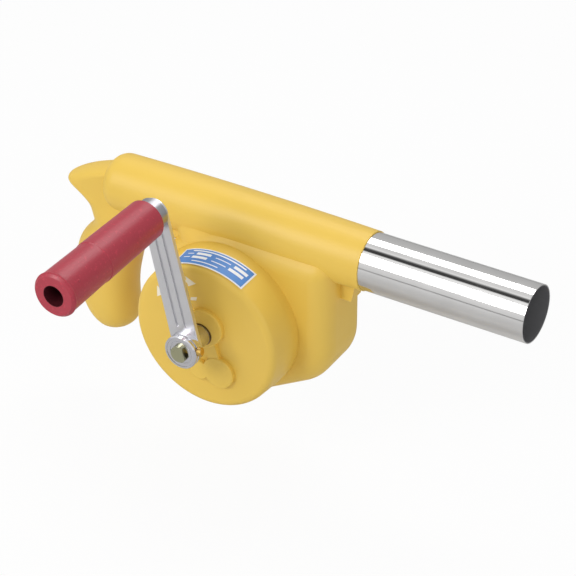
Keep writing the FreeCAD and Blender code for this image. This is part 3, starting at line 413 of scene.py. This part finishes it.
def turning_marks():
    """The two-headed arrow that shows the crank turns either way, and the dash under it."""
    ink = 0.08
    band_radius, band_half_width = 34.6, 0.8
    head_half_width, head_angle, tip_radius = 3.1, 9.5, 33.7
    first, last = 106.5, 140.5
    inner, outer = band_radius - band_half_width, band_radius + band_half_width
    work = bmesh.new()
    section = [(inner, COVER_FACE), (outer, COVER_FACE), (outer, COVER_FACE - ink), (inner, COVER_FACE - ink)]
    swept(work, section, first, last, steps=24)
    for angle, tip_angle in ((first, first - head_angle), (last, last + head_angle)):
        foot = on_circle(band_radius - head_half_width, angle)
        crown = on_circle(band_radius + head_half_width, angle)
        face_print(work, [foot, crown, on_circle(tip_radius, tip_angle)], ink)
    finished("turning_arrow", work, FAN_AXIS, cover_ink, "housing")
    dash = bmesh.new()
    face_print(dash, [(-7.8, 21.7), (-4.1, 22.8), (-3.6, 25.0), (-7.4, 23.9)], ink)
    finished("face_dash", dash, FAN_AXIS, cover_ink, "housing")


def hub_rings():
    """The turned lip round the hub's face and the fine ring inside it."""
    face = near_end("arm_hub")
    rim = HUB_RADIUS - 0.1
    lip_top = face - 0.3
    lip = [(rim - 1.3, face), (rim - 1.15, lip_top), (rim - 0.25, lip_top), (rim, face - 0.05), (rim, face)]
    turned_ring("hub_lip", lip, CRANK_AXIS, mirror_zinc, "crank")
    ring_top = face - 0.22
    ring = [(6.2, face), (6.3, ring_top), (6.8, ring_top), (6.9, face)]
    turned_ring("hub_inner_ring", ring, CRANK_AXIS, mirror_zinc, "crank")


def handle_details():
    """The handle's end bead and the small mark left by the mould's gate."""
    end = near_end("handle_sleeve")
    bead = [
        (SLEEVE_RADIUS - 0.4, end + 1.3),
        (SLEEVE_RADIUS + 0.25, end + 1.6),
        (SLEEVE_RADIUS + 0.4, end + 2.1),
        (SLEEVE_RADIUS + 0.25, end + 2.6),
        (SLEEVE_RADIUS - 0.4, end + 2.9),
    ]
    turned_ring("handle_bead", bead, HANDLE_AXIS, red_sleeve, "handle")
    mark_radius, mark_sink, mark_angle, mark_from_end = 0.8, 0.45, 39.0, 9.2
    work = bmesh.new()
    made = bmesh.ops.create_uvsphere(work, u_segments=24, v_segments=12, radius=mark_radius)
    x, z = on_circle(SLEEVE_RADIUS - mark_sink, mark_angle)
    bmesh.ops.translate(work, verts=made["verts"], vec=(x, end + mark_from_end, z))
    finished("gate_mark", work, HANDLE_AXIS, red_sleeve, "handle")


# Floor, light and camera

def floor_finish():
    """Pale and matt, near white to the camera and a little darker in the metal's reflections."""
    in_light, in_reflections, white_to_camera = 0.8, 0.57, 0.93
    finish, nodes, links, shader = new_finish("pale floor")
    rays = nodes.new("ShaderNodeLightPath")
    tone = mixed(nodes, links, rays.outputs["Is Glossy Ray"], grey(in_light), grey(in_reflections))
    links.new(tone, shader.inputs["Base Color"])
    shader.inputs["Roughness"].default_value = 0.9
    white = nodes.new("ShaderNodeEmission")
    blend = nodes.new("ShaderNodeMixShader")
    links.new(scaled(nodes, links, rays.outputs["Is Camera Ray"], white_to_camera), blend.inputs["Fac"])
    links.new(shader.outputs["BSDF"], blend.inputs[1])
    links.new(white.outputs["Emission"], blend.inputs[2])
    links.new(blend.outputs["Shader"], nodes["Material Output"].inputs["Surface"])
    return finish


def stage_floor():
    """A floor just under the lowest point that the handle reaches as the crank turns."""
    clearance, half_size = 2.0, 3.0
    reach = math.hypot(HANDLE_AXIS[0] - CRANK_AXIS[0], HANDLE_AXIS[1] - CRANK_AXIS[1])
    height = (CRANK_AXIS[1] - reach - SLEEVE_RADIUS - clearance) * MM
    work = bmesh.new()
    bmesh.ops.create_grid(work, x_segments=1, y_segments=1, size=half_size)
    bmesh.ops.translate(work, verts=work.verts, vec=(0.0, 0.0, height))
    floor = placed("studio floor", work, floor_finish())


# The brightness of the light tent as the metal shows it, from the horizon behind the object at 0,
# over the top, to the horizon on the crank's side at 1. The dark slot parts two roof panels.
ROOF = [
    (0.0, 0.5), (0.3, 0.62), (0.5, 0.8), (0.535, 0.95), (0.56, 0.3),
    (0.58, 0.06), (0.63, 0.05), (0.65, 1.0), (0.8, 0.9), (1.0, 0.75),
]


def light_tent():
    """A pale tent round the object: white to the camera, even for light, panelled in reflections."""
    even_light = 0.43
    world = bpy.data.worlds.new("light tent")
    world.use_nodes = True
    nodes, links = world.node_tree.nodes, world.node_tree.links
    where = nodes.new("ShaderNodeTexCoord")
    direction = nodes.new("ShaderNodeSeparateXYZ")
    links.new(where.outputs["Generated"], direction.inputs["Vector"])
    lean = nodes.new("ShaderNodeMath")
    lean.operation = "ARCTAN2"
    links.new(direction.outputs["Y"], lean.inputs[0])
    links.new(direction.outputs["Z"], lean.inputs[1])
    share = nodes.new("ShaderNodeMapRange")
    share.inputs["From Min"].default_value = math.pi / 2
    share.inputs["From Max"].default_value = -math.pi / 2
    links.new(lean.outputs["Value"], share.inputs["Value"])
    roof = nodes.new("ShaderNodeValToRGB")
    stops = roof.color_ramp.elements
    for place, level in ROOF[1:-1]:
        stops.new(place).color = grey(level)
    stops[0].color = grey(ROOF[0][1])
    stops[-1].color = grey(ROOF[-1][1])
    links.new(share.outputs["Result"], roof.inputs["Fac"])
    rays = nodes.new("ShaderNodeLightPath")
    unseen = mixed(nodes, links, rays.outputs["Is Glossy Ray"], grey(even_light), roof.outputs["Color"])
    seen = mixed(nodes, links, rays.outputs["Is Camera Ray"], unseen, grey(1.0))
    links.new(seen, nodes["Background"].inputs["Color"])
    nodes["Background"].inputs["Strength"].default_value = 1.0
    bpy.context.scene.world = world


def soft_lamp(name, place, size, watts):
    """A rectangular softbox that looks at the middle of the object."""
    middle = Vector((0.11, 0.0, 0.04))
    data = bpy.data.lights.new(name, "AREA")
    data.shape = "RECTANGLE"
    data.size, data.size_y = size
    data.energy = watts
    lamp = bpy.data.objects.new(name, data)
    lamp.location = place
    lamp.rotation_euler = (middle - Vector(place)).to_track_quat("-Z", "Y").to_euler()
    bpy.context.scene.collection.objects.link(lamp)


def studio():
    """The floor, the tent and three softboxes."""
    stage_floor()
    light_tent()
    soft_lamp("front softbox", (-0.35, -1.0, 0.8), (0.7, 0.7), 8.6)
    soft_lamp("right softbox", (1.1, -0.5, 0.6), (0.8, 0.8), 2.4)
    soft_lamp("top softbox", (0.0, 0.5, 1.0), (0.8, 0.5), 4.8)
    bpy.context.scene.view_settings.view_transform = "Standard"


def photo_camera():
    """A long lens on the crank side, above the object and a little to its right."""
    right = Vector((0.85869, 0.51250, 0.0))
    up = Vector((-0.28622, 0.47955, 0.82954))
    back = Vector((0.42514, -0.71232, 0.55847))
    aside, above, away = 45.45, 26.71, 1346.33
    pixels_per_unit, frame_width = 2502.5, 576.0
    data = bpy.data.cameras.new("photo camera")
    data.sensor_width = 36.0
    data.lens = pixels_per_unit / frame_width * data.sensor_width
    data.clip_end = 20.0
    camera = bpy.data.objects.new("photo camera", data)
    turn = Matrix((right, up, back)).transposed().to_4x4()
    cover_middle = Vector((FAN_AXIS[0], COVER_FACE, FAN_AXIS[1]))
    place = (right * aside + up * above + back * away + cover_middle) * MM
    camera.matrix_world = Matrix.Translation(place) @ turn
    bpy.context.scene.collection.objects.link(camera)
    bpy.context.scene.camera = camera


dress_solids()
label()
turning_marks()
hub_rings()
handle_details()
studio()
photo_camera()
